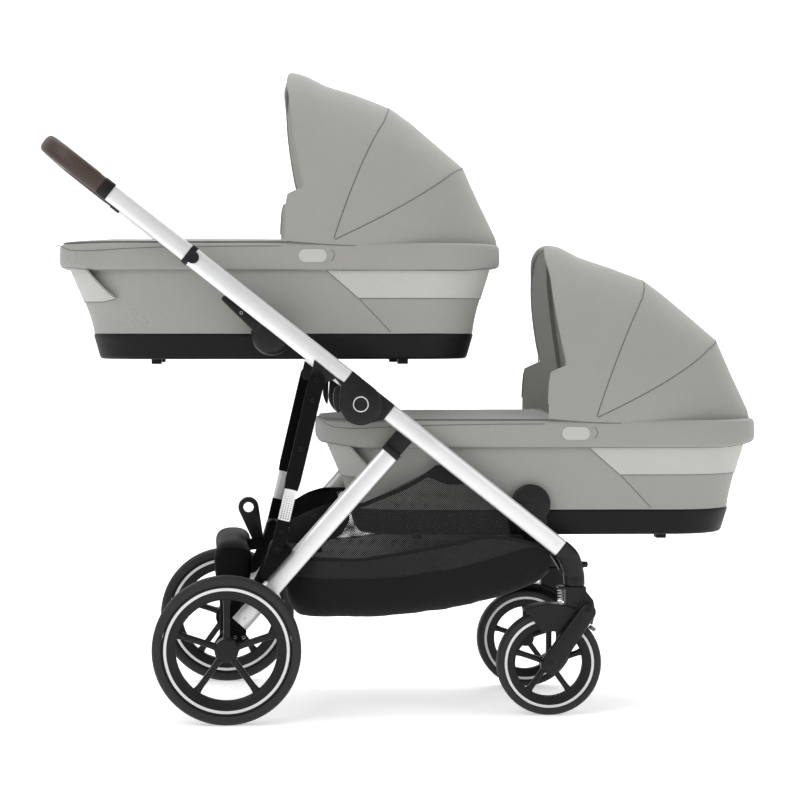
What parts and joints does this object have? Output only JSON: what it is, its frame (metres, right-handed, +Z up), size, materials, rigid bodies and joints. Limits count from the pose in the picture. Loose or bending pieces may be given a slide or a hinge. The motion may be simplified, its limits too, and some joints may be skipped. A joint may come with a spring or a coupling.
{
  "type": "twin pram",
  "caption": "Folding pram with two hooded carry cots one behind the other, telescopic handle, shopping basket, brake pedal, large rear wheels and swivelling front wheels.",
  "frame": {"origin": "on the floor, midway along the pram's length and on its centre plane", "axes": "+X towards the front wheels, away from the person who pushes; +Y to that person's left; +Z up"},
  "size_m": [1.4332, 0.624, 1.2885],
  "materials": {
    "aluminium": "matte anodised",
    "steel": "drawn spring wire",
    "black_plastic": "finely textured, matte",
    "tyre_rubber": "matte",
    "brown_leather": "grained, satin",
    "grey_fabric": "heathered weave",
    "white_fabric": "soft cotton cover",
    "black_fabric": "woven, matte"
  },
  "bodies": {
    "chassis": {"front_tube_left": "aluminium", "front_tube_right": "aluminium", "hinge_lower_left": "black_plastic", "hinge_lower_right": "black_plastic", "front_beam": "black_plastic", "basket": "black_fabric"},
    "upper_frame": {"upper_tube_left": "aluminium", "upper_tube_right": "aluminium", "hinge_upper_left": "black_plastic", "hinge_upper_right": "black_plastic"},
    "handle": {"handle_bar": "aluminium", "handle_grip": "brown_leather"},
    "button_left": {"height_button_left": "black_plastic"},
    "button_right": {"height_button_right": "black_plastic"},
    "trigger_left": {"fold_trigger_left": "black_plastic"},
    "trigger_right": {"fold_trigger_right": "black_plastic"},
    "rear_frame": {"rear_leg_left": "aluminium", "rear_leg_right": "aluminium", "leg_sleeve_left": "black_plastic", "leg_sleeve_right": "black_plastic", "rear_bridge": "black_plastic"},
    "pedal": {"brake_pedal": "black_plastic"},
    "strut_sleeve_left": {"strut_sleeve_left": "black_plastic"},
    "strut_sleeve_right": {"strut_sleeve_right": "black_plastic"},
    "strut_rod_left": {"strut_rod_left": "aluminium"},
    "strut_rod_right": {"strut_rod_right": "aluminium"},
    "rear_wheel_left": {"rear_tyre_left": "tyre_rubber", "rear_rim_left": "black_plastic"},
    "rear_wheel_right": {"rear_tyre_right": "tyre_rubber", "rear_rim_right": "black_plastic"},
    "caster_left": {"fork_left": "black_plastic", "spring_left": "steel"},
    "caster_right": {"fork_right": "black_plastic", "spring_right": "steel"},
    "arm_left": {"swing_arm_left": "black_plastic"},
    "arm_right": {"swing_arm_right": "black_plastic"},
    "front_wheel_left": {"front_tyre_left": "tyre_rubber", "front_rim_left": "black_plastic"},
    "front_wheel_right": {"front_tyre_right": "tyre_rubber", "front_rim_right": "black_plastic"},
    "upper_adapters": {"upper_adapter_left": "black_plastic", "upper_adapter_right": "black_plastic"},
    "lower_adapters": {"lower_adapter_left": "black_plastic", "lower_adapter_right": "black_plastic"},
    "upper_cot": {"upper_cot_tub": "grey_fabric", "upper_cot_base": "black_plastic", "upper_mattress": "white_fabric", "upper_apron": "grey_fabric", "upper_hood_fabric": "grey_fabric"},
    "upper_hood_front": {"upper_hood_front_bow": "black_plastic"},
    "upper_hood_middle": {"upper_hood_middle_bow": "black_plastic"},
    "lower_cot": {"lower_cot_tub": "grey_fabric", "lower_cot_base": "black_plastic", "lower_mattress": "white_fabric", "lower_apron": "grey_fabric", "lower_hood_fabric": "grey_fabric"},
    "lower_hood_front": {"lower_hood_front_bow": "black_plastic"},
    "lower_hood_middle": {"lower_hood_middle_bow": "black_plastic"}
  },
  "joints": [
    {"name": "frame_fold", "type": "hinge", "parent": "chassis", "child": "upper_frame", "pos_m": [-0.0852, 0, 0.6208], "axis": [0, 1, 0], "range_deg": [0, 140], "deforming": ["basket"]},
    {"name": "leg_fold", "type": "hinge", "parent": "chassis", "child": "rear_frame", "pos_m": [0.0151, 0, 0.5699], "axis": [0, 1, 0], "range_deg": [-50, 0], "deforming": ["basket"]},
    {"name": "strut_swing_left", "type": "hinge", "parent": "upper_frame", "child": "strut_sleeve_left", "pos_m": [-0.1711, 0.2908, 0.6678], "axis": [0, 1, 0], "range_deg": [-155, 0]},
    {"name": "strut_swing_right", "type": "hinge", "parent": "upper_frame", "child": "strut_sleeve_right", "pos_m": [-0.1711, -0.2908, 0.6678], "axis": [0, 1, 0], "range_deg": [-155, 0]},
    {"name": "strut_slide_left", "type": "slide", "parent": "strut_sleeve_left", "child": "strut_rod_left", "axis": [-0.2295, 0, -0.9733], "range_m": [0, 0.0845]},
    {"name": "strut_slide_right", "type": "slide", "parent": "strut_sleeve_right", "child": "strut_rod_right", "axis": [-0.2295, 0, -0.9733], "range_m": [0, 0.0845]},
    {"name": "upper_carry", "type": "slide", "parent": "chassis", "child": "upper_adapters", "axis": [-0.7071, 0, 0.7071], "range_m": [0, 0.2935]},
    {"name": "lower_carry", "type": "slide", "parent": "chassis", "child": "lower_adapters", "axis": [-0.7071, 0, 0.7071], "range_m": [0, 0.2935]},
    {"name": "upper_cot_lift", "type": "slide", "parent": "upper_adapters", "child": "upper_cot", "axis": [0, 0, 1], "range_m": [0, 0.08]},
    {"name": "lower_cot_lift", "type": "slide", "parent": "lower_adapters", "child": "lower_cot", "axis": [0, 0, 1], "range_m": [0, 0.08]},
    {"name": "handle_slide", "type": "slide", "parent": "upper_frame", "child": "handle", "axis": [0.7853, 0, -0.6191], "range_m": [0, 0.1]},
    {"name": "button_left_press", "type": "slide", "parent": "upper_frame", "child": "button_left", "axis": [0, -1, 0], "range_m": [0, 0.0015], "stiffness_N_per_m": 400},
    {"name": "button_right_press", "type": "slide", "parent": "upper_frame", "child": "button_right", "axis": [0, 1, 0], "range_m": [0, 0.0015], "stiffness_N_per_m": 400},
    {"name": "trigger_left_pull", "type": "slide", "parent": "upper_frame", "child": "trigger_left", "axis": [-0.7853, 0, 0.6191], "range_m": [0, 0.005], "stiffness_N_per_m": 400, "springref_m": -0.002},
    {"name": "trigger_right_pull", "type": "slide", "parent": "upper_frame", "child": "trigger_right", "axis": [-0.7853, 0, 0.6191], "range_m": [0, 0.005], "stiffness_N_per_m": 400, "springref_m": -0.002},
    {"name": "brake_press", "type": "hinge", "parent": "rear_frame", "child": "pedal", "pos_m": [-0.279, 0, 0.326], "axis": [0, 1, 0], "range_deg": [-18, 0]},
    {"name": "rear_wheel_left_spin", "type": "hinge", "parent": "rear_frame", "child": "rear_wheel_left", "pos_m": [-0.346, 0.291, 0.145], "axis": [0, 1, 0], "continuous": true},
    {"name": "rear_wheel_right_spin", "type": "hinge", "parent": "rear_frame", "child": "rear_wheel_right", "pos_m": [-0.346, -0.291, 0.145], "axis": [0, 1, 0], "continuous": true},
    {"name": "caster_left_swivel", "type": "hinge", "parent": "chassis", "child": "caster_left", "pos_m": [0.345, 0.19, 0.2567], "axis": [0, 0, 1], "continuous": true},
    {"name": "caster_right_swivel", "type": "hinge", "parent": "chassis", "child": "caster_right", "pos_m": [0.345, -0.19, 0.2567], "axis": [0, 0, 1], "continuous": true},
    {"name": "suspension_left", "type": "hinge", "parent": "caster_left", "child": "arm_left", "pos_m": [0.3666, 0.19, 0.2072], "axis": [0, 1, 0], "range_deg": [0, 4], "stiffness_Nm_per_rad": 100, "springref_deg": -5.73},
    {"name": "suspension_right", "type": "hinge", "parent": "caster_right", "child": "arm_right", "pos_m": [0.3666, -0.19, 0.2072], "axis": [0, 1, 0], "range_deg": [0, 4], "stiffness_Nm_per_rad": 100, "springref_deg": -5.73},
    {"name": "front_wheel_left_spin", "type": "hinge", "parent": "arm_left", "child": "front_wheel_left", "pos_m": [0.294, 0.19, 0.104], "axis": [0, 1, 0], "continuous": true},
    {"name": "front_wheel_right_spin", "type": "hinge", "parent": "arm_right", "child": "front_wheel_right", "pos_m": [0.294, -0.19, 0.104], "axis": [0, 1, 0], "continuous": true},
    {"name": "upper_hood_fold", "type": "hinge", "parent": "upper_cot", "child": "upper_hood_front", "pos_m": [-0.136, 0, 0.941], "axis": [0, 1, 0], "range_deg": [0, 60], "deforming": ["upper_hood_fabric"]},
    {"name": "upper_hood_middle_fold", "type": "hinge", "parent": "upper_cot", "child": "upper_hood_middle", "pos_m": [-0.136, 0, 0.941], "axis": [0, 1, 0], "range_deg": [0, 30], "deforming": ["upper_hood_fabric"]},
    {"name": "lower_hood_fold", "type": "hinge", "parent": "lower_cot", "child": "lower_hood_front", "pos_m": [0.384, 0, 0.591], "axis": [0, 1, 0], "range_deg": [0, 60], "deforming": ["lower_hood_fabric"]},
    {"name": "lower_hood_middle_fold", "type": "hinge", "parent": "lower_cot", "child": "lower_hood_middle", "pos_m": [0.384, 0, 0.591], "axis": [0, 1, 0], "range_deg": [0, 30], "deforming": ["lower_hood_fabric"]}
  ],
  "couplings": [
    {"joint": "leg_fold", "follows": "frame_fold", "ratio": -0.3571},
    {"joint": "strut_swing_left", "follows": "frame_fold", "ratio": -1.1043},
    {"joint": "strut_swing_right", "follows": "frame_fold", "ratio": -1.1043},
    {"joint": "strut_slide_left", "follows": "frame_fold", "m_per_rad": 0.03421},
    {"joint": "strut_slide_right", "follows": "frame_fold", "m_per_rad": 0.03421},
    {"joint": "upper_carry", "follows": "frame_fold", "m_per_rad": 0.12},
    {"joint": "lower_carry", "follows": "frame_fold", "m_per_rad": 0.12},
    {"joint": "upper_hood_middle_fold", "follows": "upper_hood_fold", "ratio": 0.5},
    {"joint": "lower_hood_middle_fold", "follows": "lower_hood_fold", "ratio": 0.5}
  ]
}
